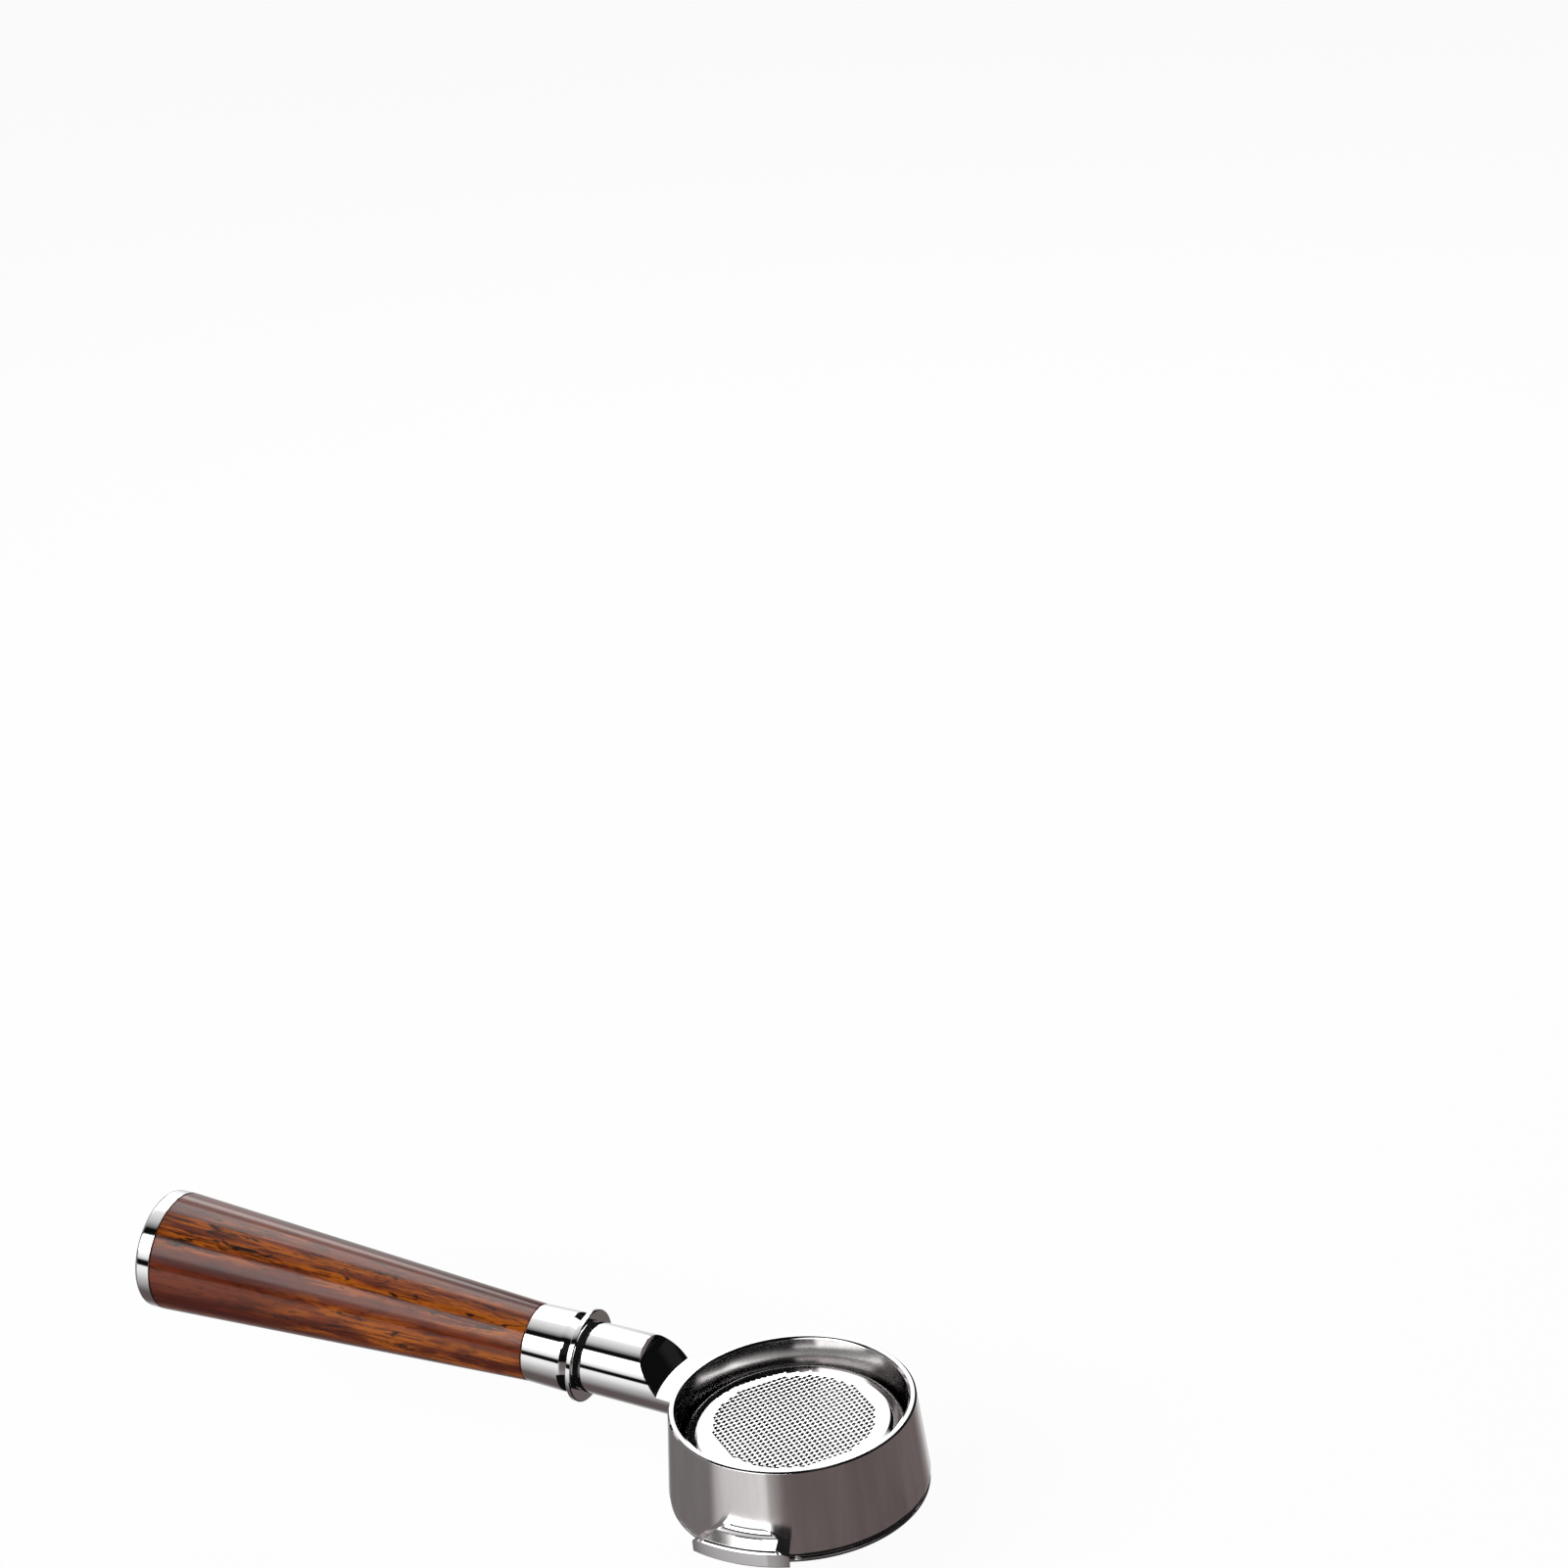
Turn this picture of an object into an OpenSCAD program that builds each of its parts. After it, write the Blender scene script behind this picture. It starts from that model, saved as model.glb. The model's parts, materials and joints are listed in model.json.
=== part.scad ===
// Bottomless portafilter, turned over: the basket's mouth faces down and the open rim faces up.
// Z is the ring's axis, the basket's sealing face lies in z = 0 and the grip points along -X.

/* [Basket] */
// Inner radius of the basket, which a tamper enters
basket_bore_r = 29.2; // [24:0.1:36]
// Sheet thickness of the basket's wall and floor
basket_wall = 0.8; // [0.5:0.1:1.2]
// Depth of the basket from its sealing face to the outside of its floor
basket_depth = 20; // [16:0.5:24]
// Outer radius of the bend between wall and floor
basket_corner_r = 5.2; // [3:0.1:7]
// Width of the flange outside the basket's wall
flange_w = 4.6; // [3.5:0.1:4.8]

/* [Ring] */
// Height of the open rim over the sealing face
ring_h = 26.2; // [24.5:0.1:34]
// Thickness of the ring's wall at the basket's mouth
ring_wall = 4.4; // [3.8:0.1:6]
// How far the outside tapers in from mouth to rim
ring_taper = 2.25; // [0:0.05:2.6]
// Bevel on the ring's mouth
mouth_bevel = 0.7; // [0.3:0.1:1]
// Bevel on the rim's outer edge
rim_bevel = 0.35; // [0.2:0.05:0.6]
// Bevel on the rim's inner edge
rim_lead = 0.6; // [0.3:0.1:1]

/* [Retaining clip] */
// Radius of the clip's wire
wire_r = 0.6; // [0.5:0.05:0.7]
// Height of the clip over the sealing face
clip_z = 9; // [6:0.5:12]
// Angle that the sprung clip leaves open
clip_gap = 34; // [20:1:60]

/* [Lugs] */
// How far each lug stands out of the ring's mouth
lug_reach = 6.5; // [4:0.1:8]
// Angle that each lug spans
lug_span = 38; // [28:1:46]
// Angle that the lugs are turned from square with the grip
lug_turn = 2; // [-5:0.5:5]
// Height of each lug's lower face
lug_low_z = 3.2; // [2:0.1:4]
// Thickness of each lug
lug_t = 4.8; // [4:0.1:7]
// Radius of the fillet between lug and ring
lug_fillet = 2.2; // [1:0.1:3]
// Bevel along each lug's outer edge
lug_bevel = 0.8; // [0.3:0.1:1.2]
// Drop of the run-in at both ends of each lug
lug_run_in = 1.4; // [0.5:0.1:2]

/* [Neck] */
// Tilt of the handle's axis over the rim's plane
tilt = 4.8; // [0:0.1:10]
// Depth of the handle's axis under the rim, at the ring's axis
axis_drop = 2; // [0:0.1:5]
// Length of the neck from the ring's mouth radius
neck_l = 23.4; // [18:0.1:40]
// Radius of the neck at the ring
neck_root_r = 9.9; // [8.5:0.1:12]
// Radius of the neck at its end
neck_end_r = 9.6; // [8.5:0.1:12]
// Width of the flat land between the rim and the relief
land_w = 3.4; // [2:0.1:5]
// Half angle of the conical relief turned beside the rim
relief_angle = 31; // [25:1:60]
// Radial depth of the relief
relief_w = 5.1; // [3:0.1:10]
// Radius at which the relief's cone turns upright
relief_round = 8; // [2:0.5:10]

/* [Handle joint] */
// Radius of the threaded stud
stud_r = 5; // [4:0.1:6]
// Length of stud inside the neck
stud_in_neck = 14.4; // [10:0.1:18]
// Length of stud inside the grip
stud_in_grip = 26; // [16:1:40]
// Thickness of the seal washer
seal_t = 0.8; // [0.5:0.1:1.5]
// Outer radius of the seal washer
seal_r = 8.9; // [7:0.1:9.5]
// Radius of the collar
collar_r = 12.6; // [11:0.1:15]
// Thickness of the collar
collar_t = 1.5; // [1:0.1:3]
// Thickness of the spring washer
lock_t = 1.6; // [1:0.1:2]
// Outer radius of the spring washer
lock_r = 8.2; // [7:0.1:8.8]
// Running clearance of threads, drawn plain
thread_gap = 0.03; // [0.01:0.01:0.05]

/* [Ferrule and grip] */
// Length of the ferrule
ferrule_l = 14.3; // [10:0.1:20]
// Radius of the ferrule at the collar
ferrule_r = 10.9; // [10:0.1:12]
// Rounding of the ferrule's edge at the collar
ferrule_round = 1.6; // [0.5:0.1:2]
// Thickness of the ferrule's wall
ferrule_wall = 1.3; // [1:0.1:1.6]
// Thickness of the ferrule's front
ferrule_front = 2.2; // [1.5:0.1:3]
// Length of the visible wood
grip_l = 113.2; // [90:1:140]
// Radius of the wood at the ferrule
grip_front_r = 10.6; // [10:0.1:12]
// Radius of the wood at the end cap
grip_rear_r = 16.6; // [14:0.1:20]
// Radius of the threaded insert
insert_r = 7.5; // [6.5:0.1:8]
// Length of the threaded insert
insert_l = 30; // [27:1:44]

/* [End cap] */
// Length of the cap's visible band
cap_l = 4.7; // [3:0.1:10]
// How far the cap's end draws in
cap_draw = 1.1; // [0.5:0.1:3]
// Sheet thickness of the cap
cap_wall = 1.5; // [1:0.1:2]
// Outer radius of the cap's spigot
spigot_r = 11; // [9:0.1:12]
// Length of the cap's spigot
spigot_l = 10; // [6:0.5:16]
// Thickness of the spigot's rubber ring
cord_t = 1.1; // [0.8:0.1:1.4]

/* [Hidden] */
$fn = 96;
// Gap between basket and bore
bore_gap = 0.6;
// Gap between basket and clip
clip_grip = 0.05;
// Gap between clip and groove
groove_gap = 0.05;
// Gap between flange and ring
seat_gap = 0.05;
// Gap between a spigot and its hole
glue_gap = 0.05;
// Overshoot of cutting tools
cut = 1;

basket_r = basket_bore_r + basket_wall;
flange_r = basket_r + flange_w;
bore_r = basket_r + bore_gap;
mouth_z = basket_wall + seat_gap;
mouth_r = bore_r + ring_wall;
rim_r = mouth_r - ring_taper;
clip_r = basket_r + clip_grip + wire_r;
groove_r = clip_r + wire_r + 3 * groove_gap;
lug_r = mouth_r + lug_reach;

// Stations along the handle's axis, counted from the ring's axis
neck_s = mouth_r + neck_l;
collar_s = neck_s + seal_t;
ferrule_s = collar_s + collar_t;
tenon_s = ferrule_s + lock_t + ferrule_front;
grip_s = ferrule_s + ferrule_l;
cap_s = grip_s + grip_l;
tenon_r = grip_front_r - ferrule_wall + glue_gap;

// Outer radius of the ring at height z
function ring_r(z) = mouth_r - ring_taper * z / ring_h;

// Points of an arc around c, from angle a to angle b
function arc(c, r, a, b, n = 8) =
    [for (i = [0 : n]) c + r * [cos(a + (b - a) * i / n), sin(a + (b - a) * i / n)]];

// Children stand along the handle's axis, with +Z away from the ring
module on_handle(s) {
    translate([0, 0, ring_h - axis_drop]) rotate([0, tilt - 90, 0]) translate([0, 0, s]) children();
}

module tube(r, bore, l) {
    difference() {
        cylinder(r = r, h = l);
        translate([0, 0, -cut]) cylinder(r = bore, h = l + 2 * cut);
    }
}

// The ring's outside as one solid: what meets the ring is cut back to it
module ring_outside() {
    rotate_extrude() polygon([
        [0, mouth_z],
        [mouth_r - mouth_bevel, mouth_z],
        [ring_r(mouth_z + mouth_bevel), mouth_z + mouth_bevel],
        [ring_r(ring_h - rim_bevel), ring_h - rim_bevel],
        [rim_r - rim_bevel, ring_h],
        [0, ring_h]
    ]);
}

module ring() color("silver") difference() {
    ring_outside();
    translate([0, 0, -cut]) cylinder(r = bore_r, h = ring_h + 2 * cut);
    rotate_extrude() polygon([
        [bore_r - cut, ring_h - rim_lead - cut],
        [bore_r + rim_lead + cut, ring_h + cut],
        [bore_r - cut, ring_h + cut]
    ]);
    rotate_extrude() polygon([
        [bore_r - cut, mouth_z - cut],
        [bore_r + mouth_bevel + cut, mouth_z - cut],
        [bore_r - cut, mouth_z + mouth_bevel + cut]
    ]);
    translate([0, 0, clip_z - wire_r - groove_gap])
        cylinder(r = groove_r, h = 2 * (wire_r + groove_gap));
}

module neck() color("gainsboro") difference() {
    on_handle(bore_r - cut) cylinder(r1 = neck_root_r, r2 = neck_end_r, h = neck_s - bore_r + cut);
    ring_outside();
    rotate_extrude() polygon([
        [0, -cut],
        [mouth_r - mouth_bevel, -cut],
        [mouth_r - mouth_bevel, mouth_z],
        [0, mouth_z]
    ]);
    // Relief: flat out to the land's edge, then a cone that curves upright
    relief_rise = relief_round * sin(relief_angle)
        + (relief_w - relief_round * (1 - cos(relief_angle))) / tan(relief_angle);
    rotate_extrude() polygon(concat(
        [[0, ring_h], [rim_r + land_w, ring_h]],
        arc([rim_r + land_w + relief_w - relief_round, ring_h + relief_rise],
            relief_round, -relief_angle, 0),
        [[rim_r + land_w + relief_w, 2 * ring_h], [0, 2 * ring_h]]
    ));
    on_handle(neck_s - stud_in_neck) cylinder(r = stud_r + thread_gap, h = stud_in_neck + cut);
}

// A bayonet lug around the angle a, with a bevelled edge, a filleted root and a run-in at both ends
module lug(a) {
    top = lug_low_z + lug_t;
    root = ring_r(top + lug_fillet);
    rotate([0, 0, a + lug_turn]) difference() {
        rotate([0, 0, -lug_span / 2]) rotate_extrude(angle = lug_span) polygon(concat(
            [[bore_r, lug_low_z], [lug_r, lug_low_z], [lug_r, top - lug_bevel], [lug_r - lug_bevel, top]],
            arc([root + lug_fillet, top + lug_fillet], lug_fillet, 270, 180),
            [[bore_r, top + lug_fillet]]
        ));
        ring_outside();
        for (side = [-1, 1]) rotate([0, 0, side * lug_span / 2])
            translate([bore_r, 0, top - lug_run_in]) rotate([-side * 25, 0, 0])
                translate([0, -2 * lug_t, 0]) cube([lug_reach + ring_wall + cut, 4 * lug_t, 2 * lug_t]);
    }
}

module lug_front() color("silver") lug(-90);

module lug_back() color("silver") lug(90);

module basket_clip() color("dimgray") rotate([0, 0, clip_gap / 2])
    translate([0, 0, clip_z]) rotate_extrude(angle = 360 - clip_gap)
        translate([clip_r, 0]) circle(r = wire_r, $fn = 24);

module basket() color("whitesmoke") {
    bend = [basket_r - basket_corner_r, basket_depth - basket_corner_r];
    rotate_extrude() polygon(concat(
        [[basket_bore_r, 0], [flange_r, 0], [flange_r, basket_wall], [basket_r, basket_wall]],
        arc(bend, basket_corner_r, 0, 90),
        [[0, basket_depth], [0, basket_depth - basket_wall]],
        arc(bend, basket_corner_r - basket_wall, 90, 0)
    ));
}

module stud() color("darkgray") on_handle(neck_s - stud_in_neck)
    cylinder(r = stud_r, h = stud_in_neck + tenon_s - neck_s + stud_in_grip);

module seal_washer() color("black") on_handle(neck_s) tube(seal_r, stud_r + thread_gap, seal_t);

module collar() color("gainsboro") on_handle(collar_s) {
    edge = collar_t / 4;
    rotate_extrude() polygon([
        [stud_r + thread_gap, 0],
        [collar_r - edge, 0],
        [collar_r, edge],
        [collar_r, collar_t - edge],
        [collar_r - edge, collar_t],
        [stud_r + thread_gap, collar_t]
    ]);
}

module lock_washer() color("dimgray") on_handle(ferrule_s) difference() {
    tube(lock_r, stud_r + 4 * thread_gap, lock_t);
    translate([0, -lock_t / 4, -cut]) cube([lock_r + cut, lock_t / 2, lock_t + 2 * cut]);
}

module ferrule() color("gainsboro") on_handle(ferrule_s) difference() {
    rotate_extrude() polygon(concat(
        [[0, 0]],
        arc([ferrule_r - ferrule_round, ferrule_round], ferrule_round, -90, 0),
        [[grip_front_r, ferrule_l], [0, ferrule_l]]
    ));
    translate([0, 0, -cut]) cylinder(r = lock_r + 2 * glue_gap, h = lock_t + cut);
    cylinder(r = stud_r + thread_gap, h = ferrule_l);
    translate([0, 0, tenon_s - ferrule_s]) cylinder(r = tenon_r, h = ferrule_l);
}

module grip() color("saddlebrown") difference() {
    union() {
        on_handle(tenon_s) cylinder(r = tenon_r - glue_gap, h = grip_s - tenon_s + cut);
        on_handle(grip_s) cylinder(r1 = grip_front_r, r2 = grip_rear_r, h = grip_l);
    }
    on_handle(tenon_s - cut) cylinder(r = insert_r + glue_gap, h = insert_l + cut);
    on_handle(cap_s - spigot_l - cut) cylinder(r = spigot_r + glue_gap, h = spigot_l + 2 * cut);
}

module grip_insert() color("goldenrod") on_handle(tenon_s) tube(insert_r, stud_r + thread_gap, insert_l);

module end_cap() color("gainsboro") on_handle(cap_s) difference() {
    groove_floor = spigot_r + glue_gap - cord_t;
    union() {
        rotate_extrude() polygon(concat(
            [[0, 0], [grip_rear_r, 0]],
            arc([grip_rear_r - cap_draw, cap_l - cap_draw], cap_draw, 0, 90),
            [[0, cap_l]]
        ));
        translate([0, 0, -spigot_l]) cylinder(r = spigot_r, h = spigot_l + cut);
    }
    // Hollow spigot, open towards the wood
    translate([0, 0, -spigot_l - cut])
        cylinder(r = groove_floor - cap_wall / 2, h = spigot_l + cut + cap_l - cap_wall);
    // Hollow behind the cap's edge
    translate([0, 0, -cut]) tube(grip_rear_r - cap_wall, spigot_r, cut + cap_l - cap_wall);
    // Groove for the rubber ring
    translate([0, 0, -spigot_l / 2 - cord_t / 2 - glue_gap])
        tube(spigot_r + cut, groove_floor, cord_t + 2 * glue_gap);
}

module cap_ring() color("black") on_handle(cap_s - spigot_l / 2)
    rotate_extrude() translate([spigot_r + glue_gap - cord_t / 2, 0]) circle(r = cord_t / 2, $fn = 24);

ring();
neck();
lug_front();
lug_back();
basket_clip();
basket();
stud();
seal_washer();
collar();
lock_washer();
ferrule();
grip();
grip_insert();
end_cap();
cap_ring();
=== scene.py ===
import json
from math import atan2, cos, hypot, pi, radians, sin, sqrt, tan

import bmesh
import bpy
from mathutils import Matrix, Vector
from mathutils.geometry import delaunay_2d_cdt


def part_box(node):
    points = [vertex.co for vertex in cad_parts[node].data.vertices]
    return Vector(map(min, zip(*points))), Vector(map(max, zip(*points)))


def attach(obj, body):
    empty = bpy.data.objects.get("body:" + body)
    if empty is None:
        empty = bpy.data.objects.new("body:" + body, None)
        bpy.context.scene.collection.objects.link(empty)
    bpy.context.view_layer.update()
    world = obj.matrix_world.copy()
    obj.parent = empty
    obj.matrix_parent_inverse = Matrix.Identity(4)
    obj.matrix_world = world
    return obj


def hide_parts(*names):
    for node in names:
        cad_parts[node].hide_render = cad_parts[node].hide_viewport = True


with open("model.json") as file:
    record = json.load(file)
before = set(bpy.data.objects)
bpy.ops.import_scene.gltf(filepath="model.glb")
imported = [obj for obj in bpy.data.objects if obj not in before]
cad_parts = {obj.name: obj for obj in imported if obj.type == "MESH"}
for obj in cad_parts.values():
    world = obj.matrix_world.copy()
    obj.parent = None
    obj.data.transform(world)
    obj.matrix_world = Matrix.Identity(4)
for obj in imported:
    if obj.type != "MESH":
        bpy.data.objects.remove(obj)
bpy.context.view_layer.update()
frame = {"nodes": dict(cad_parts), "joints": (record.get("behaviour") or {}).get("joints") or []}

# ---------------------------------------------------------------------------------------------
# The studio: a white floor under the part, a soft light on either side and a camera with a longish
# lens, looking down on the open rim from the front right.

MM = 0.001
camera_aim = Vector((15.3, 0, 205.8)) * MM
camera_azimuth = radians(-63.17)
camera_elevation = radians(24.17)
camera_distance = 938.5 * MM
camera_roll = radians(5.575)
camera_lens = 89.25
basket_travel = max(joint["range_m"][1] for joint in frame["joints"] if joint["type"] == "slide")

view_direction = Vector((
    cos(camera_elevation) * cos(camera_azimuth),
    cos(camera_elevation) * sin(camera_azimuth),
    sin(camera_elevation),
))
camera = bpy.data.objects.new("camera", bpy.data.cameras.new("camera"))
camera.data.lens = camera_lens
camera.data.sensor_width = 36
camera.data.clip_start = 0.01
camera.data.clip_end = 50
camera.matrix_world = (
    Matrix.Translation(camera_aim + view_direction * camera_distance)
    @ view_direction.to_track_quat("Z", "Y").to_matrix().to_4x4()
    @ Matrix.Rotation(-camera_roll, 4, "Z")
)
bpy.context.scene.collection.objects.link(camera)
bpy.context.scene.camera = camera
bpy.context.scene.view_settings.view_transform = "Standard"


class Socket:
    """A shader's output, on which Python's arithmetic adds Math nodes."""

    def __init__(self, shader, output):
        self.shader = shader
        self.output = output

    def math(self, operation, *values):
        return self.shader.node("Math", {"operation": operation}, dict(enumerate(values)))

    def __add__(self, other):
        return self.math("ADD", self, other)

    def __sub__(self, other):
        return self.math("SUBTRACT", self, other)

    def __rsub__(self, other):
        return self.math("SUBTRACT", other, self)

    def __mul__(self, other):
        return self.math("MULTIPLY", self, other)

    def __truediv__(self, other):
        return self.math("DIVIDE", self, other)

    __radd__ = __add__
    __rmul__ = __mul__

    def step(self, low, high):
        """0 below low, 1 above high, and smooth between them; low may be the larger."""
        settings = {"interpolation_type": "SMOOTHSTEP"}
        return self.shader.node("MapRange", settings, {0: self, 1: low, 2: high, 3: 0.0, 4: 1.0})


class Shader:
    """A material or a world, made of nodes."""

    def __init__(self, owner):
        self.owner = owner
        owner.use_nodes = True
        self.tree = owner.node_tree
        self.tree.nodes.clear()

    def node(self, kind, settings=None, inputs=None, output=0):
        made = self.tree.nodes.new("ShaderNode" + kind)
        for name, value in (settings or {}).items():
            if name == "stops":
                for _ in value[2:]:
                    made.color_ramp.elements.new(0.5)
                for element, (place, colour) in zip(made.color_ramp.elements, value):
                    element.position = place
                    element.color = (*colour, 1)
            else:
                setattr(made, name, value)
        for name, value in (inputs or {}).items():
            if isinstance(value, Socket):
                self.tree.links.new(value.output, made.inputs[name])
            else:
                made.inputs[name].default_value = value
        return Socket(self, made.outputs[output]) if made.outputs else None

    def xyz(self, vector):
        return [self.node("SeparateXYZ", None, {0: vector}, axis) for axis in range(3)]

    def mix(self, factor, low, high):
        """One colour fading into another."""
        low, high = [c if isinstance(c, Socket) else (*c, 1) for c in (low, high)]
        return self.node("Mix", {"data_type": "RGBA"}, {0: factor, 6: low, 7: high}, 2)

    def noise(self, vector, scale, detail=4.0, roughness=0.55):
        inputs = {"Vector": vector, "Scale": scale, "Detail": detail, "Roughness": roughness}
        return self.node("TexNoise", None, inputs)

    def stretch(self, vector, *factors):
        return self.node("VectorMath", {"operation": "MULTIPLY"}, {0: vector, 1: factors})

    def bump(self, height, distance, strength=1.0):
        return self.node("Bump", None, {"Height": height, "Distance": distance, "Strength": strength})

    def surface(self, **inputs):
        named = {name.replace("_", " ").title().replace("Ior", "IOR"): v for name, v in inputs.items()}
        for name in ("Base Color", "Emission Color"):
            if name in named and not isinstance(named[name], Socket):
                named[name] = (*named[name], 1)
        shader = self.node("BsdfPrincipled", None, named)
        self.node("OutputMaterial", None, {"Surface": shader})
        return self.owner


# What metal and lacquer reflect, as against the plain white that the camera sees. The bands go by
# the angle round the grip's axis in degrees, with 0 at the horizon in front and 90 overhead: soft
# boxes are white and the flags between them black. The cards are placed for the main camera.
room = Shader(bpy.data.worlds.new("studio"))
bpy.context.scene.world = room.owner
flag = (0.004, 0.004, 0.004)
table_grey = (0.112, 0.09, 0.089)
box_boost = 2.6
ambient_level = 0.36


def grey(level, warmth=0.0):
    return (level * (1 + warmth), level, level)


look_x, look_y, look_z = room.xyz(room.node("TexCoord"))
round_grip = room.node("Math", {"operation": "ARCTAN2"}, {0: look_z, 1: look_y * -1}) / (2 * pi) + 0.5
bands = [
    (-180, grey(0.80)), (-160, grey(0.70)), (-140, grey(0.60)), (-122, grey(0.40)),
    (-106, grey(0.16, 0.1)), (-96, table_grey), (-68, table_grey), (-58, grey(0.18, 0.08)),
    (-48, grey(0.33, 0.04)), (-38, grey(0.46, 0.03)), (-28, grey(0.67)), (-18, grey(0.88)),
    (-7, grey(0.95)), (-4.8, flag), (4.6, flag), (8, grey(0.62)), (13, grey(0.94)), (20, grey(1.0)),
    (53.5, grey(1.0)), (55.5, flag), (66.5, flag), (69, grey(0.12)), (73, grey(0.27)), (82, grey(0.55)),
    (92, grey(0.72)), (102, grey(0.88)), (112, grey(1.0)), (165, grey(1.0)),
]
wall_stops = [(angle / 360 + 0.5, colour) for angle, colour in bands]
tent = room.node("ValToRGB", {"stops": wall_stops}, {0: round_grip})
below_tent = look_z.step(0.66, 0.6)
low_left = (look_x - 0.12 * look_y).step(-0.61, -0.72) * below_tent
low_right = look_x.step(-0.05, -0.01) * below_tent
far_right = look_x.step(0.0, 0.24) * below_tent
right_edge = look_x - 0.24 * look_z.step(0.54, 0.60)
right_card = right_edge.step(-0.03, 0.0) * look_z.step(-0.06, 0.0) * look_z.step(0.90, 0.84)
under_card = look_x.step(-0.40, -0.36) * look_z.step(-0.60, -0.66)
back_card = (look_x + look_y).step(0.52, 0.57) * look_z.step(-0.36, -0.30) * below_tent
table_slot = look_z.step(-0.64, -0.61) * look_z.step(-0.50, -0.54)
table_slot = table_slot * look_x.step(0.28, 0.38) * look_y.step(0.6, 0.5)
seen = room.mix(low_left, tent, grey(0.16, 0.07))
seen = room.mix(low_right, seen, grey(0.34, 0.05))
seen = room.mix(far_right, seen, (0.145, 0.12, 0.119))
for card in (right_card, back_card, table_slot, under_card):
    seen = room.mix(card, seen, flag)
turn = (round_grip - 0.5) * 360
front_box = turn.step(17, 24) * turn.step(54, 52)
back_box = turn.step(104, 114) * turn.step(168, 160)
box_seam = turn.step(135, 139) * turn.step(153, 149)
boxes = front_box + back_box * (1 - 0.95 * box_seam)
rays = [room.node("LightPath", None, None, output) for output in (0, 3, 6)]
is_camera, is_glossy, is_transmission = rays
backdrop = room.node("Background", None, {"Color": (1, 1, 1, 1), "Strength": 1.0})
boosted = room.node("VectorMath", {"operation": "SCALE"}, {0: seen, "Scale": 1.0 + boxes * box_boost})
reflected = room.node("Background", None, {"Color": boosted, "Strength": 1.0})
ambient = room.node("Background", None, {"Color": (1, 0.99, 0.985, 1), "Strength": ambient_level})
lit = room.node("MixShader", None, {0: is_glossy, 1: ambient, 2: reflected})
plain = room.node("Math", {"operation": "MAXIMUM"}, {0: is_camera, 1: is_transmission})
room.node("OutputWorld", None, {"Surface": room.node("MixShader", None, {0: plain, 1: lit, 2: backdrop})})

for name, place, size, power in (
    ("key_light", (-0.25, -0.9, 0.75), (0.9, 0.5), 9.0),
    ("fill_light", (-0.3, 0.9, 0.9), (1.2, 0.6), 7.0),
):
    lamp = bpy.data.lights.new(name, "AREA")
    lamp.shape = "RECTANGLE"
    lamp.size, lamp.size_y = size
    lamp.energy = power
    lamp_object = bpy.data.objects.new(name, lamp)
    lamp_object.matrix_world = (
        Matrix.Translation(place)
        @ (Vector(place) - Vector((-0.08, 0, 0.02))).to_track_quat("Z", "Y").to_matrix().to_4x4()
    )
    lamp_object.visible_glossy = False
    bpy.context.scene.collection.objects.link(lamp_object)


def mesh_object(name, build, material, smooth=True):
    """A new object whose mesh build() fills in."""
    shape = bmesh.new()
    build(shape)
    bmesh.ops.recalc_face_normals(shape, faces=shape.faces)
    mesh = bpy.data.meshes.new(name)
    shape.to_mesh(mesh)
    shape.free()
    mesh.polygons.foreach_set("use_smooth", [smooth] * len(mesh.polygons))
    mesh.materials.append(material)
    made = bpy.data.objects.new(name, mesh)
    bpy.context.scene.collection.objects.link(made)
    return made


floor_z = -basket_travel - 1 * MM
floor_reach = 6.0
floor_glow = 0.93
sweep = Shader(bpy.data.materials.new("white_sweep"))
sweep_rays = [sweep.node("LightPath", None, None, output) for output in (0, 3, 6)]
sees_white = sweep.node("Math", {"operation": "MAXIMUM"}, {0: sweep_rays[0], 1: sweep_rays[1]})
sees_white = sweep.node("Math", {"operation": "MAXIMUM"}, {0: sees_white, 1: sweep_rays[2]})
paper_tooth = sweep.noise(sweep.node("TexCoord", None, None, 3), 40.0)
paper = sweep.mix(paper_tooth, (0.90, 0.90, 0.90), (0.94, 0.94, 0.94))
paper = sweep.node("BsdfPrincipled", None, {"Base Color": paper, "Roughness": 0.9})
glow = sweep.node("Emission", None, {"Color": (1, 1, 1, 1), "Strength": 1.0})
paper = sweep.node("MixShader", None, {0: sees_white * floor_glow, 1: paper, 2: glow})
sweep.node("OutputMaterial", None, {"Surface": paper})


def flat_square(shape):
    corners = [(-1, -1), (1, -1), (1, 1), (-1, 1)]
    shape.faces.new([shape.verts.new((x * floor_reach, y * floor_reach, floor_z)) for x, y in corners])


floor = mesh_object("floor", flat_square, sweep.owner, smooth=False)
floor.visible_glossy = False

# ---------------------------------------------------------------------------------------------
# The ring: a turned and chromed collar that tapers to its open rim. Its wall and bore keep the
# lathe's brushing, while the rim and the bevels are polished. The bore's metal is darkened to 0.42
# of the wall's brightness: painted shade inside the ring.

ring_low, ring_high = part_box("ring")
basket_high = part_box("basket")[1]
ring_h = ring_high.z
ring_mouth_z = ring_low.z
mouth_r = 35.0 * MM
rim_r = 32.75 * MM
bore_r = 30.6 * MM
rim_bevel = 0.45 * MM
rim_lead = 0.6 * MM
mouth_bevel = 0.7 * MM
mouth_round = 1.8 * MM
clip_z = 9 * MM
clip_groove_r = 31.4 * MM
clip_groove_w = 1.3 * MM
LATHE_STEPS = 288


def wall_r(z):
    """Radius of the ring's outside at height z."""
    return mouth_r + (rim_r - mouth_r) * z / ring_h


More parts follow.
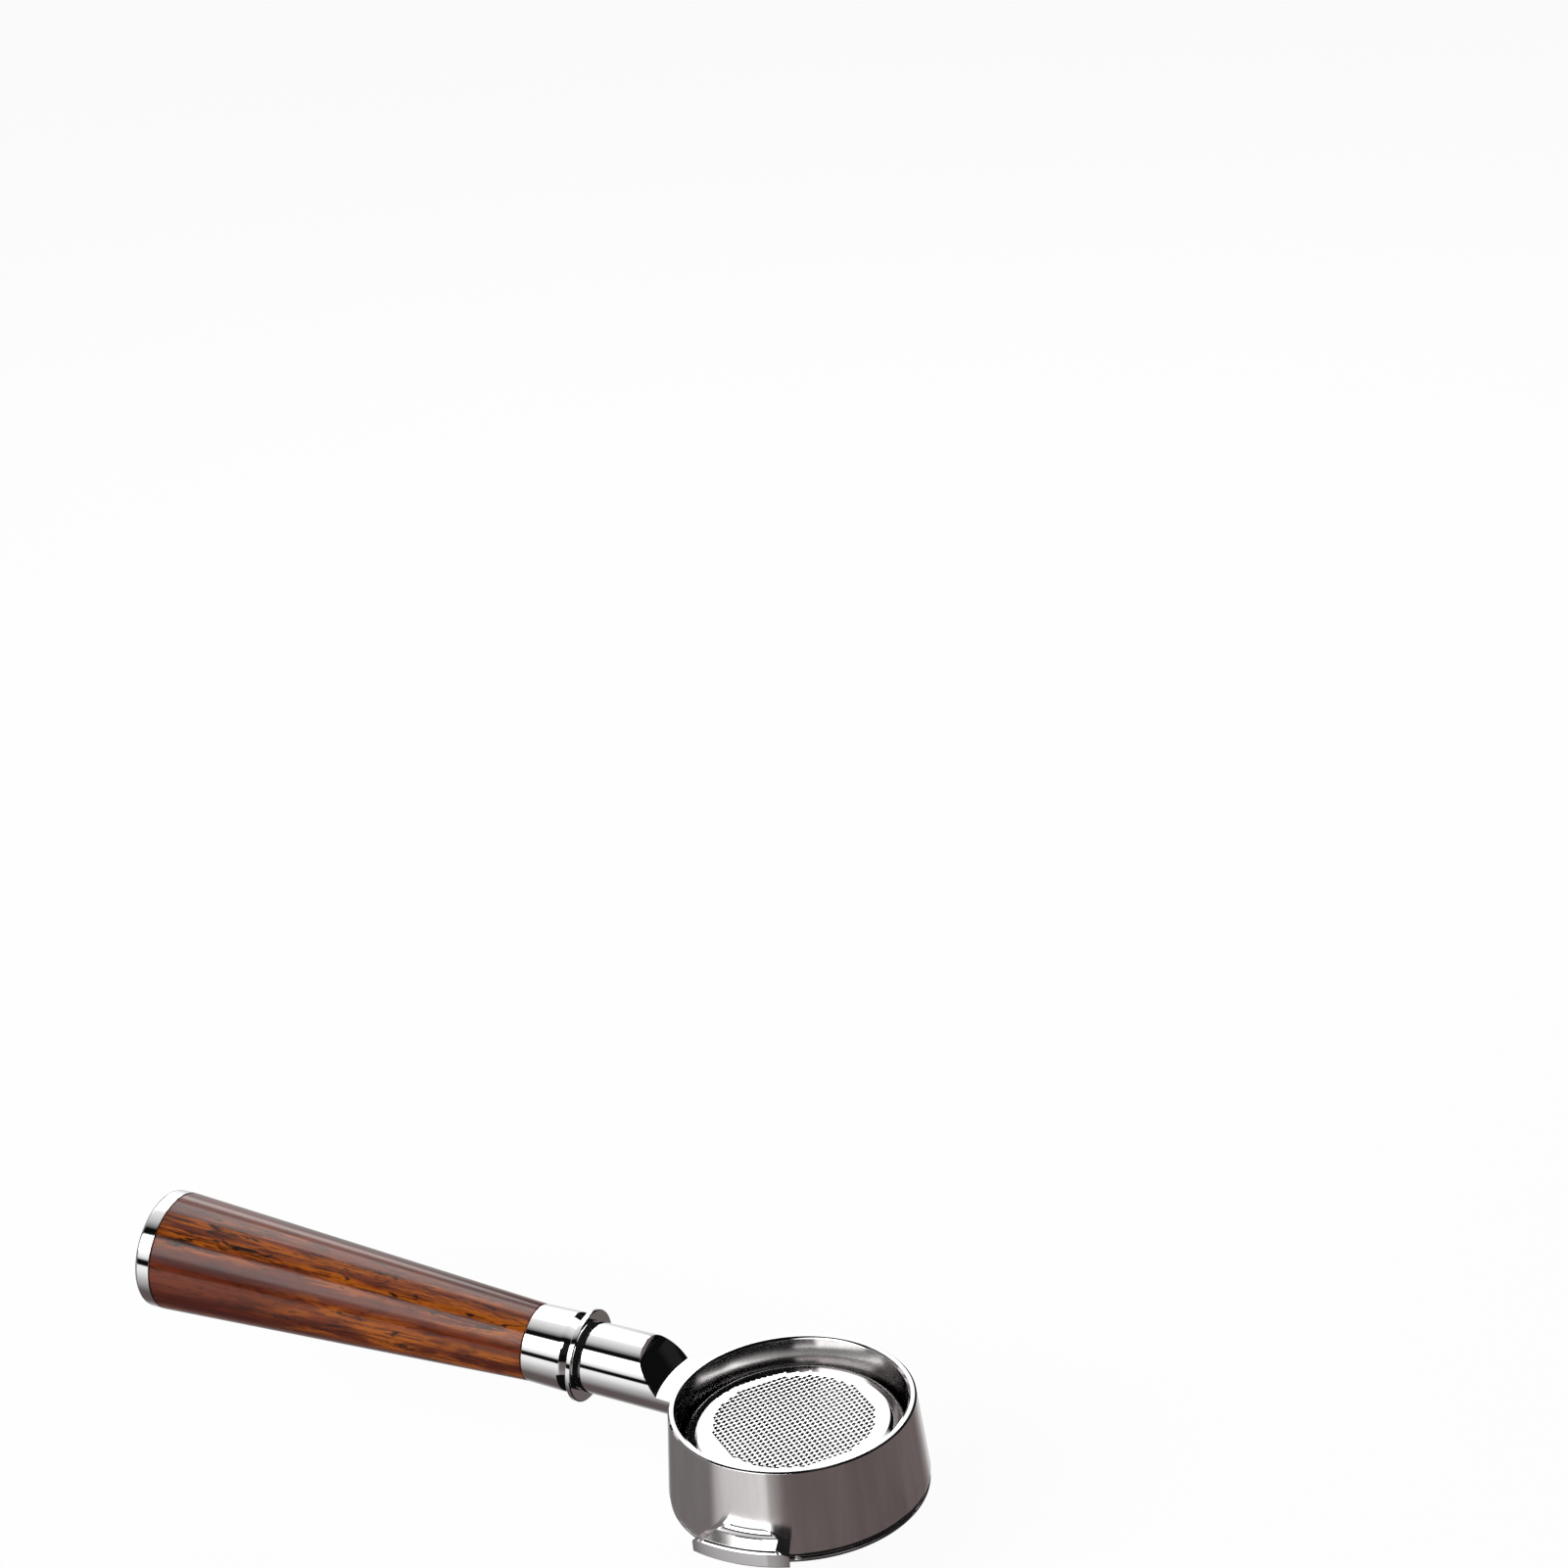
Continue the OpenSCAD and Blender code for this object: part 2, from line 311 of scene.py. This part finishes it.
def rounded(corners, steps=5):
    """The closed outline through corners (x, y, fillet radius), with an arc at each fillet."""
    outline = []
    for before, corner, after in zip(corners[-1:] + corners[:-1], corners, corners[1:] + corners[:1]):
        point = Vector(corner[:2])
        if not corner[2]:
            outline.append(point)
            continue
        back = (Vector(before[:2]) - point).normalized()
        on = (Vector(after[:2]) - point).normalized()
        half = back.angle(on) / 2
        centre = point + (back + on).normalized() * corner[2] / sin(half)
        start = point + back * corner[2] / tan(half) - centre
        end = point + on * corner[2] / tan(half) - centre
        turn = start.angle(end)
        for i in range(steps + 1):
            blend = start * sin(turn * (1 - i / steps)) + end * sin(turn * i / steps)
            outline.append(centre + blend / sin(turn))
    return outline


def lathe(name, outline, material, frame_of=None, steps=LATHE_STEPS):
    """A solid turned from an outline of (radius, height) points, whose mesh frame_of may place."""

    def turn(shape):
        rows = []
        for r, z in outline:
            if r < 1e-7:
                rows.append([shape.verts.new((0, 0, z))] * steps)
                continue
            angles = [2 * pi * i / steps for i in range(steps)]
            rows.append([shape.verts.new((r * cos(a), r * sin(a), z)) for a in angles])
        for near, far in zip(rows, rows[1:] + rows[:1]):
            if near[0] is near[1] and far[0] is far[1]:
                continue
            for i in range(steps):
                j = (i + 1) % steps
                corners = [near[i], near[j], far[j], far[i]]
                shape.faces.new(list(dict.fromkeys(corners)))

    made = mesh_object(name, turn, material)
    if frame_of is not None:
        made.data.transform(frame_of)
    crisp(made)
    return made


def crisp(made, bevel=0.0, segments=2):
    """Keeps flat faces flat beside their fillets, and breaks sharp edges where asked."""
    if bevel:
        edge = made.modifiers.new("broken edges", "BEVEL")
        edge.width = bevel
        edge.segments = segments
        edge.limit_method = "ANGLE"
        edge.angle_limit = radians(28)
        edge.harden_normals = True
    keep = made.modifiers.new("flat faces", "WEIGHTED_NORMAL")
    keep.weight = 100


def brushed_finish(name, shade, roughness):
    """Lathe brushing: fine grooves round the part, of uneven depth, with a few deeper ones."""
    s = Shader(bpy.data.materials.new(name))
    place = s.node("TexCoord", None, None, 3)
    grooves = s.noise(s.stretch(place, 25, 25, 9000), 1.0, 3.0, 0.7)
    streaks = s.noise(s.stretch(place, 260, 260, 16), 1.0, 4.0, 0.6)
    blotches = s.noise(place, 90.0, 3.0)
    dull, bright, stain = [tuple(c * shade for c in tone) for tone in (
        (0.84, 0.80, 0.79), (0.95, 0.92, 0.91), (0.62, 0.57, 0.56),
    )]
    tone = s.mix(streaks.step(0.3, 0.75), dull, bright)
    tone = s.mix(blotches.step(0.58, 0.8) * 0.3, tone, stain)
    return s.surface(
        base_color=tone, metallic=1.0, roughness=roughness + 0.03 * grooves + 0.03 * blotches,
        anisotropic=0.7, anisotropic_rotation=0.25, normal=s.bump(grooves, 0.002 * MM, 0.5),
    )


def polished_finish(name="polished_metal", tone=(0.93, 0.93, 0.935)):
    """Mirror-polished chrome with faint handling haze and hairline scratches."""
    s = Shader(bpy.data.materials.new(name))
    place = s.node("TexCoord", None, None, 3)
    haze = s.noise(place, 55.0, 4.0)
    hairlines = s.noise(s.stretch(place, 900, 900, 60), 1.0, 2.0, 0.8)
    base = s.mix(haze.step(0.35, 0.8), tone, tuple(c * 0.96 for c in tone))
    gloss = 0.035 + 0.03 * haze.step(0.5, 0.8) + 0.02 * hairlines.step(0.66, 0.75)
    fine = s.bump(hairlines, 0.0006 * MM, 0.25)
    return s.surface(base_color=base, metallic=1.0, roughness=gloss, normal=fine)


brushed = brushed_finish("brushed_ring", 1.0, 0.13)
# The bore's brushed metal at 0.42 brightness is painted shade for the inside of the ring, not a darker
# metal.
bore_painted_shade = brushed_finish("bore_painted_shade", 0.42, 0.13)
polished = polished_finish()
groove_low = clip_z - clip_groove_w / 2
groove_high = clip_z + clip_groove_w / 2
ring_outline = rounded([
    (bore_r + mouth_bevel, ring_mouth_z, 0.15 * MM),
    (wall_r(ring_mouth_z), ring_mouth_z, mouth_round),
    (wall_r(ring_h - rim_bevel), ring_h - rim_bevel, 0.12 * MM),
    (rim_r - rim_bevel, ring_h, 0.12 * MM),
    (bore_r + rim_lead, ring_h, 0.15 * MM),
    (bore_r, ring_h - rim_lead, 0.3 * MM),
    (bore_r, groove_high, 0.1 * MM),
    (clip_groove_r, groove_high, 0.1 * MM),
    (clip_groove_r, groove_low, 0.1 * MM),
    (bore_r, groove_low, 0.1 * MM),
    (bore_r, ring_mouth_z + mouth_bevel, 0.2 * MM),
])
ring = lathe("ring_body", ring_outline, brushed)
ring.data.materials.append(bore_painted_shade)
ring.data.materials.append(polished)
for face in ring.data.polygons:
    in_bore = hypot(face.center.x, face.center.y) < clip_groove_r
    face.material_index = 2 if abs(face.normal.z) > 0.15 else int(in_bore)
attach(ring, "head")
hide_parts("ring")

# ---------------------------------------------------------------------------------------------
# The neck: a polished round boss welded into the ring's wall. Beside the rim it is turned away on
# the ring's own axis, which leaves a flat land and a conical face. The stud screws into its end.

tilt = radians(4.8)
axis_drop = 2 * MM
axis_z = ring_h - axis_drop
neck_s = mouth_r + 23.4 * MM
neck_root_r = 9.9 * MM
neck_end_r = 9.6 * MM
land_r = rim_r + 3.4 * MM
relief_w = 5.1 * MM
relief_angle = radians(31)
relief_round = 8 * MM
relief_rise = relief_round * sin(relief_angle)
relief_rise += (relief_w - relief_round * (1 - cos(relief_angle))) / tan(relief_angle)
neck_edge = 0.25 * MM
weld_depth = 0.2 * MM
handle_frame = Matrix.Translation((0, 0, axis_z)) @ Matrix.Rotation(tilt - pi / 2, 4, "Y")
NECK_ROUND = 240
NECK_LONG = 40
RELIEF_ACROSS = 24


def neck_r(s):
    """Radius of the neck at a station along the handle's axis."""
    return neck_root_r + (neck_end_r - neck_root_r) * (s - bore_r) / (neck_s - bore_r)


def neck_point(turn, s):
    return handle_frame @ Vector((neck_r(s) * cos(turn), neck_r(s) * sin(turn), s))


def cut_r(z):
    """How far from the ring's axis the neck is cut back at height z."""
    if z < ring_h:
        return wall_r(z) - weld_depth
    below_top = relief_rise - min(z - ring_h, relief_rise)
    if below_top > relief_round * sin(relief_angle):
        return land_r + (z - ring_h) * tan(relief_angle)
    return land_r + relief_w - relief_round + sqrt(relief_round ** 2 - below_top ** 2)


def neck_start(turn):
    """The station at which the neck's skin leaves the ring or the relief."""
    low, high = bore_r - 6 * MM, neck_s
    for _ in range(40):
        middle = (low + high) / 2
        p = neck_point(turn, middle)
        if hypot(p.x, p.y) < cut_r(p.z):
            low = middle
        else:
            high = middle
    return high


def build_neck(shape):
    # Turn 0 is the lowest line of the neck and pi its highest
    turns = [2 * pi * i / NECK_ROUND for i in range(NECK_ROUND)]
    rows = []
    for turn in turns:
        start = neck_start(turn)
        end = neck_s - neck_edge
        rows.append([neck_point(turn, start + (end - start) * j / NECK_LONG) for j in range(NECK_LONG + 1)])
        for j in range(1, 5):
            bow = pi / 2 * j / 4
            s = end + neck_edge * sin(bow)
            r = neck_end_r - neck_edge * (1 - cos(bow))
            rows[-1].append(handle_frame @ Vector((r * cos(turn), r * sin(turn), s)))
    skin = [[shape.verts.new(p) for p in row] for row in rows]
    for near, far in zip(skin, skin[1:] + skin[:1]):
        for j in range(len(near) - 1):
            shape.faces.new([near[j], far[j], far[j + 1], near[j + 1]])
    shape.faces.new([row[-1] for row in skin])
    # The cut end, as arcs round the ring's axis between mirrored points of the skin
    half = NECK_ROUND // 2
    arcs = [[skin[0][0]] * (RELIEF_ACROSS + 1)]
    for i in range(1, half):
        one, other = skin[i][0], skin[-i][0]
        radius = hypot(one.co.x, one.co.y)
        bow = atan2(one.co.y, -one.co.x)
        inner = []
        for k in range(1, RELIEF_ACROSS):
            a = bow * (1 - 2 * k / RELIEF_ACROSS)
            inner.append(shape.verts.new((-radius * cos(a), radius * sin(a), one.co.z)))
        arcs.append([one, *inner, other])
    arcs.append([skin[half][0]] * (RELIEF_ACROSS + 1))
    for near, far in zip(arcs, arcs[1:]):
        for k in range(RELIEF_ACROSS):
            shape.faces.new(list(dict.fromkeys([near[k], near[k + 1], far[k + 1], far[k]])))


neck = mesh_object("neck_boss", build_neck, polished)
crisp(neck, 0.12 * MM, 3)
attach(neck, "head")
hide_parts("neck")

# ---------------------------------------------------------------------------------------------
# The two bayonet lugs: short polished segments welded to the ring near its mouth. Each has a
# bevelled outer edge, a filleted root and a run-in at both ends that finds the group's ramps.

lug_reach = 6.5 * MM
lug_span = radians(38)
lug_turn = radians(2)
lug_low_z = 3.2 * MM
lug_t = 4.8 * MM
lug_fillet = 2.2 * MM
lug_bevel = 0.8 * MM
lug_run_in = 1.4 * MM
lug_sunk = 0.6 * MM
run_in_slope = tan(radians(25))
lug_top_z = lug_low_z + lug_t
lug_r = mouth_r + lug_reach
LUG_STEPS = 96


def lug_outline(ceiling):
    """The lug's section, with everything above the ceiling planed off."""
    root = wall_r(lug_top_z + lug_fillet)
    hidden = root - lug_sunk
    points = rounded([
        (hidden, lug_low_z, 0),
        (lug_r, lug_low_z, 0.35 * MM),
        (lug_r, lug_top_z - lug_bevel, 0.15 * MM),
        (lug_r - lug_bevel, lug_top_z, 0.15 * MM),
    ], 3)
    for i in range(9):
        a = radians(270 - 90 * i / 8)
        points.append(Vector((root + lug_fillet * (1 + cos(a)), lug_top_z + lug_fillet * (1 + sin(a)))))
    points.append(Vector((hidden, lug_top_z + lug_fillet)))
    return [(x, min(z, ceiling)) for x, z in points]


def build_lug(middle):
    def build(shape):
        rows = []
        for i in range(LUG_STEPS + 1):
            a = middle + lug_turn + lug_span * (i / LUG_STEPS - 0.5)
            from_end = mouth_r * lug_span * min(i, LUG_STEPS - i) / LUG_STEPS
            ceiling = lug_top_z - lug_run_in + from_end * run_in_slope
            outline = lug_outline(ceiling)
            rows.append([shape.verts.new((r * cos(a), r * sin(a), z)) for r, z in outline])
        for near, far in zip(rows, rows[1:]):
            for j in range(len(near)):
                k = (j + 1) % len(near)
                shape.faces.new([near[j], near[k], far[k], far[j]])
        shape.faces.new(rows[0])
        shape.faces.new(rows[-1])
    return build


for side, middle in (("front", -pi / 2), ("back", pi / 2)):
    lug = mesh_object("bayonet_lug_" + side, build_lug(middle), polished)
    crisp(lug, 0.15 * MM, 2)
    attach(lug, "head")
    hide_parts("lug_" + side)

# ---------------------------------------------------------------------------------------------
# The filter basket: a bright steel cup pressed from sheet, with a flat flange that the group seals
# on and a floor with a square grid of fine holes.

flange_r = basket_high.x
flange_t = 0.8 * MM
sheet = 0.8 * MM
basket_bore_r = 29.2 * MM
basket_r = basket_bore_r + sheet
floor_top = basket_high.z
corner_r = 5.2 * MM
lip_top_z = 3 * MM
floor_flat_r = basket_r - corner_r
hole_pitch = 1.506 * MM
hole_r = 0.42 * MM
holes_reach = 21.8 * MM
holes_turn = radians(49.5)
HOLE_SIDES = 10


def hole_centres():
    """A square grid, turned on the floor, that leaves a plain margin."""
    count = int(holes_reach / hole_pitch) + 1
    for i in range(-count, count):
        for j in range(-count, count):
            x, y = (i + 0.5) * hole_pitch, (j + 0.5) * hole_pitch
            if hypot(x, y) < holes_reach:
                yield Matrix.Rotation(holes_turn, 2) @ Vector((x, y))


def build_basket(shape):
    # The turned part, from the floor's outer edge over the bend and flange and back inside
    outer = [Vector((floor_flat_r + corner_r * sin(a), floor_top - corner_r + corner_r * cos(a)))
             for a in [radians(90 * i / 12) for i in range(13)]]
    lip = rounded([
        (basket_r, lip_top_z, 0),
        (basket_r, flange_t, 0.5 * MM),
        (flange_r, flange_t, 0.3 * MM),
        (flange_r, 0, 0.3 * MM),
        (basket_bore_r, 0, 0.35 * MM),
        (basket_bore_r, lip_top_z, 0),
    ])
    inner_r = corner_r - sheet
    inner = [Vector((floor_flat_r + inner_r * sin(a), floor_top - corner_r + inner_r * cos(a)))
             for a in [radians(90 - 90 * i / 12) for i in range(13)]]
    outline = outer + lip + inner
    rows = [[shape.verts.new((p.x * cos(a), p.x * sin(a), p.y))
             for a in [2 * pi * i / LATHE_STEPS for i in range(LATHE_STEPS)]] for p in outline]
    for near, far in zip(rows, rows[1:]):
        for i in range(LATHE_STEPS):
            j = (i + 1) % LATHE_STEPS
            shape.faces.new([near[i], near[j], far[j], far[i]])
    # The floor, as one sheet with holes, filled on both sides
    flat = [Vector((v.co.x, v.co.y)) for v in rows[0]]
    loops = [list(range(LATHE_STEPS))]
    centres = list(hole_centres())
    for centre in centres:
        loops.append(list(range(len(flat), len(flat) + HOLE_SIDES)))
        for i in range(HOLE_SIDES):
            a = 2 * pi * i / HOLE_SIDES
            flat.append(centre + Vector((cos(a), sin(a))) * hole_r)
    edges = [(loop[i], loop[(i + 1) % len(loop)]) for loop in loops for i in range(len(loop))]
    points, _, faces, *_ = delaunay_2d_cdt(flat, edges, [], 0, 1e-7)
    cell = {}
    for centre in centres:
        cell.setdefault((round(centre.x / hole_pitch), round(centre.y / hole_pitch)), []).append(centre)

    def in_hole(p):
        kx, ky = round(p.x / hole_pitch), round(p.y / hole_pitch)
        near = [c for dx in (-1, 0, 1) for dy in (-1, 0, 1) for c in cell.get((kx + dx, ky + dy), [])]
        return any((c - p).length < hole_r * 0.94 for c in near)

    solid = [f for f in faces if not in_hole(sum((points[i] for i in f), Vector((0, 0))) / len(f))]
    sides = []
    for z, rim in ((floor_top, rows[0]), (floor_top - sheet, rows[-1])):
        side = rim + [shape.verts.new((p.x, p.y, z)) for p in points[LATHE_STEPS:]]
        sides.append(side)
        for f in solid:
            shape.faces.new([side[i] for i in f])
    for loop in loops[1:]:
        for i in range(HOLE_SIDES):
            a, b = loop[i], loop[(i + 1) % HOLE_SIDES]
            hole_wall = shape.faces.new([sides[0][a], sides[0][b], sides[1][b], sides[1][a]])
            hole_wall.material_index = 1


def hole_shade_finish():
    """Near-black, matt walls for the fine holes: painted shade inside them, with a faint random speckle."""
    s = Shader(bpy.data.materials.new("hole_wall_painted_shade"))
    wall_speckle = s.noise(s.node("TexCoord", None, None, 3), 4000.0, 2.0)
    tone = s.mix(wall_speckle, (0.03, 0.03, 0.031), (0.075, 0.074, 0.074))
    return s.surface(base_color=tone, metallic=1.0, roughness=0.5 + 0.2 * wall_speckle)


basket_sheet = polished_finish("basket_sheet", (0.90, 0.90, 0.905))
basket = mesh_object("filter_basket", build_basket, basket_sheet)
# The hole walls take the near-black finish, which is painted shade for the inside of the holes.
basket.data.materials.append(hole_shade_finish())
crisp(basket)
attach(basket, "basket_body")
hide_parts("basket")

# ---------------------------------------------------------------------------------------------
# The retaining clip: sprung steel wire, bent to a ring with a gap, that lies in the bore's groove
# and grips the basket.


def wire_finish(name, tone, roughness):
    """Drawn or rolled steel with fine scale marks."""
    s = Shader(bpy.data.materials.new(name))
    place = s.node("TexCoord", None, None, 3)
    marks = s.noise(s.stretch(place, 400, 400, 1500), 1.0, 3.0)
    base = s.mix(marks.step(0.35, 0.7), tone, tuple(c * 0.8 for c in tone))
    return s.surface(
        base_color=base, metallic=1.0, roughness=roughness + 0.12 * marks,
        normal=s.bump(marks, 0.004 * MM, 0.4),
    )


def dress(node, material):
    """Gives a CAD node its finish."""
    shown = frame["nodes"][node]
    shown.data.materials.clear()
    shown.data.materials.append(material)


spring_wire = wire_finish("spring_wire", (0.5, 0.5, 0.52), 0.3)
dress("basket_clip", spring_wire)
dress("lock_washer", spring_wire)

# ---------------------------------------------------------------------------------------------
# What holds the handle: a plated stud screwed into the neck and into the brass insert in the wood,
# with a rubber washer against the neck and a split spring washer inside the ferrule's front.


def rubber_finish():
    """Matt black rubber with a fine moulded grain and a bloom of lighter dust."""
    s = Shader(bpy.data.materials.new("seal_rubber"))
    place = s.node("TexCoord", None, None, 3)
    grain = s.noise(place, 2600.0, 3.0)
    bloom = s.noise(place, 160.0, 3.0)
    base = s.mix(bloom.step(0.4, 0.75), (0.010, 0.010, 0.010), (0.026, 0.025, 0.024))
    return s.surface(
        base_color=base, roughness=0.65 + 0.2 * grain, specular_ior_level=0.2,
        normal=s.bump(grain, 0.01 * MM, 0.3),
    )


def threaded_finish(name, tone):
    """Cut thread, as a fine helical ridge seen in the surface."""
    s = Shader(bpy.data.materials.new(name))
    place = s.node("TexCoord", None, None, 3)
    x, _, z = s.xyz(place)
    along = (x * -cos(tilt) + z * sin(tilt)) / thread_pitch
    turns = s.node("Math", {"operation": "PINGPONG"}, {0: along, 1: 0.5})
    wear = s.noise(place, 220.0, 3.0)
    base = s.mix(wear.step(0.35, 0.75), tone, tuple(c * 0.75 for c in tone))
    return s.surface(
        base_color=base, metallic=1.0, roughness=0.28 + 0.15 * wear,
        normal=s.bump(turns, 0.5 * MM, 0.8),
    )


seal_rubber = rubber_finish()
dress("seal_washer", seal_rubber)
dress("cap_ring", seal_rubber)
thread_pitch = 1.5 * MM
dress("stud", threaded_finish("stud_steel", (0.6, 0.6, 0.62)))
dress("grip_insert", threaded_finish("insert_brass", (0.72, 0.52, 0.24)))

# ---------------------------------------------------------------------------------------------
# The collar and the ferrule: polished turnings. The collar is a thin flange with a round edge, and
# the ferrule is a sleeve that covers the joint between metal and wood.

collar_s = neck_s + 0.8 * MM
collar_r = 12.6 * MM
collar_t = 1.5 * MM
stud_hole_r = 5.03 * MM
ferrule_s = collar_s + collar_t
ferrule_l = 14.3 * MM
ferrule_r = 10.9 * MM
ferrule_round = 3.1 * MM
ferrule_drop = 1.15 * MM
grip_front_r = 10.6 * MM
tenon_r = 9.4 * MM
ferrule_front = 3.8 * MM
lock_r = 8.3 * MM
lock_t = 1.6 * MM

collar = lathe("handle_collar", rounded([
    (stud_hole_r, 0, 0.1 * MM),
    (collar_r, 0, 0.25 * MM),
    (collar_r, collar_t, 0.25 * MM),
    (stud_hole_r, collar_t, 0.1 * MM),
]), polished, handle_frame @ Matrix.Translation((0, 0, collar_s)))
ferrule = lathe("grip_ferrule", rounded([
    (stud_hole_r, lock_t, 0.1 * MM),
    (lock_r, lock_t, 0.2 * MM),
    (lock_r, 0, 0.1 * MM),
    (ferrule_r - ferrule_drop, 0, 0.25 * MM),
    (ferrule_r, ferrule_round, 4 * MM),
    (grip_front_r, ferrule_l, 0.15 * MM),
    (tenon_r, ferrule_l, 0.1 * MM),
    (tenon_r, ferrule_front, 0.2 * MM),
    (stud_hole_r, ferrule_front, 0.1 * MM),
], 8), polished, handle_frame @ Matrix.Translation((0, 0, ferrule_s)))
for piece, node in ((collar, "collar"), (ferrule, "ferrule")):
    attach(piece, "head")
    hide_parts(node)

# ---------------------------------------------------------------------------------------------
# The grip: turned rosewood that swells towards its end, bored at both ends, sanded and finished
# with clear gloss lacquer. Its figure is long streaks of gold and near-black in red-brown wood.

grip_s = ferrule_s + ferrule_l
grip_l = 113.2 * MM
grip_rear_r = 16.6 * MM
insert_hole_r = 7.55 * MM
insert_l = 30 * MM
spigot_hole_r = 11.05 * MM
spigot_l = 10 * MM
tenon_l = ferrule_l - ferrule_front
shadow_line = 0.3 * MM
glue_gap = 0.05 * MM


def rosewood_finish():
    """Figured rosewood under lacquer."""
    s = Shader(bpy.data.materials.new("rosewood"))
    place = s.node("TexCoord", None, None, 3)
    x, y, z = s.xyz(place)
    drift = s.noise(s.stretch(place, 60, 60, 20), 1.0, 4.0, 0.6)
    turn = s.node("Math", {"operation": "ARCTAN2"}, {0: x, 1: y * -1}) + (drift - 0.5) * 1.5
    streaks = s.noise(s.stretch(place, 640, 640, 24), 1.0, 5.0, 0.62)
    threads = s.noise(s.stretch(place, 1100, 1100, 55), 1.0, 4.0, 0.65)
    bands = s.noise(s.stretch(place, 230, 230, 9), 1.0, 4.0, 0.6)
    clouds = s.noise(s.stretch(place, 150, 150, 40), 1.0, 5.0, 0.6)
    flecks = s.node("TexNoise", None, {
        "Vector": s.stretch(place, 440, 440, 80), "Scale": 1.0, "Detail": 6.0, "Roughness": 0.68,
        "Distortion": 1.1,
    })
    pores = s.noise(s.stretch(place, 2600, 2600, 170), 1.0, 2.0, 0.6)
    upper = turn.step(0.55, 0.85) * turn.step(1.6, 1.25)
    lower = turn.step(-0.85, -0.45) * turn.step(0.5, 0.1) * z.step(0.085, 0.055)
    behind = s.node("Math", {"operation": "ABSOLUTE"}, {0: turn}).step(2.1, 2.5)
    figure = upper * streaks.step(0.40, 0.60) + (lower + behind) * clouds.step(0.38, 0.56)
    wood = s.mix(bands.step(0.35, 0.65), (0.060, 0.009, 0.005), (0.150, 0.028, 0.009))
    wood = s.mix(streaks.step(0.5, 0.7) * 0.6, wood, (0.040, 0.007, 0.004))
    wood = s.mix(figure * 0.9, wood, (0.37, 0.092, 0.007))
    wood = s.mix(threads.step(0.50, 0.60) * (0.4 + 0.5 * upper + 0.3 * lower), wood, (0.055, 0.010, 0.004))
    wood = s.mix(flecks.step(0.53, 0.62) * (0.4 + 0.6 * upper + 0.5 * lower), wood, (0.014, 0.005, 0.004))
    wood = s.mix(pores.step(0.60, 0.72) * 0.5, wood, (0.020, 0.006, 0.004))
    return s.surface(
        base_color=wood, roughness=0.45 + 0.2 * streaks, specular_ior_level=0.0,
        coat_weight=0.92 + 0.08 * clouds, coat_roughness=0.14, coat_ior=1.43,
        normal=s.bump(streaks + pores * 0.6, 0.008 * MM, 0.2),
    )


rosewood = rosewood_finish()
grip = lathe("wooden_grip", rounded([
    (insert_hole_r, -tenon_l, 0.1 * MM),
    (tenon_r - glue_gap, -tenon_l, 0.2 * MM),
    (tenon_r - glue_gap, 0, 0),
    (grip_front_r - shadow_line, 0, 0),
    (grip_front_r - shadow_line, shadow_line, 0),
    (grip_front_r, shadow_line, 0.15 * MM),
    (grip_rear_r, grip_l - shadow_line, 0.15 * MM),
    (grip_rear_r - shadow_line, grip_l - shadow_line, 0),
    (grip_rear_r - shadow_line, grip_l, 0),
    (spigot_hole_r, grip_l, 0.1 * MM),
    (spigot_hole_r, grip_l - spigot_l, 0.3 * MM),
    (0, grip_l - spigot_l, 0),
    (0, insert_l - tenon_l, 0),
    (insert_hole_r, insert_l - tenon_l, 0.3 * MM),
]), rosewood)
grip.matrix_world = handle_frame @ Matrix.Translation((0, 0, grip_s))
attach(grip, "head")
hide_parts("grip")

# ---------------------------------------------------------------------------------------------
# The end cap: a polished shell drawn in at its edge, with a hollow spigot that a rubber ring holds
# in the wood.

cap_s = grip_s + grip_l
cap_l = 4.7 * MM
cap_draw = 1.1 * MM
cap_wall = 1.5 * MM
spigot_r = 11 * MM
spigot_floor_r = 9.95 * MM
spigot_bore_r = 9.2 * MM
groove_half = 0.6 * MM
end_cap = lathe("grip_end_cap", rounded([
    (0, cap_l, 0),
    (grip_rear_r, cap_l, cap_draw),
    (grip_rear_r, 0, 0.25 * MM),
    (grip_rear_r - cap_wall, 0, 0.1 * MM),
    (grip_rear_r - cap_wall, cap_l - cap_wall, 0.3 * MM),
    (spigot_r, cap_l - cap_wall, 0.3 * MM),
    (spigot_r, groove_half - spigot_l / 2, 0.1 * MM),
    (spigot_floor_r, groove_half - spigot_l / 2, 0.1 * MM),
    (spigot_floor_r, -groove_half - spigot_l / 2, 0.1 * MM),
    (spigot_r, -groove_half - spigot_l / 2, 0.1 * MM),
    (spigot_r, -spigot_l, 0.2 * MM),
    (spigot_bore_r, -spigot_l, 0.2 * MM),
    (spigot_bore_r, cap_l - cap_wall, 0.3 * MM),
    (0, cap_l - cap_wall, 0),
]), polished, handle_frame @ Matrix.Translation((0, 0, cap_s)))
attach(end_cap, "head")
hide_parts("end_cap")
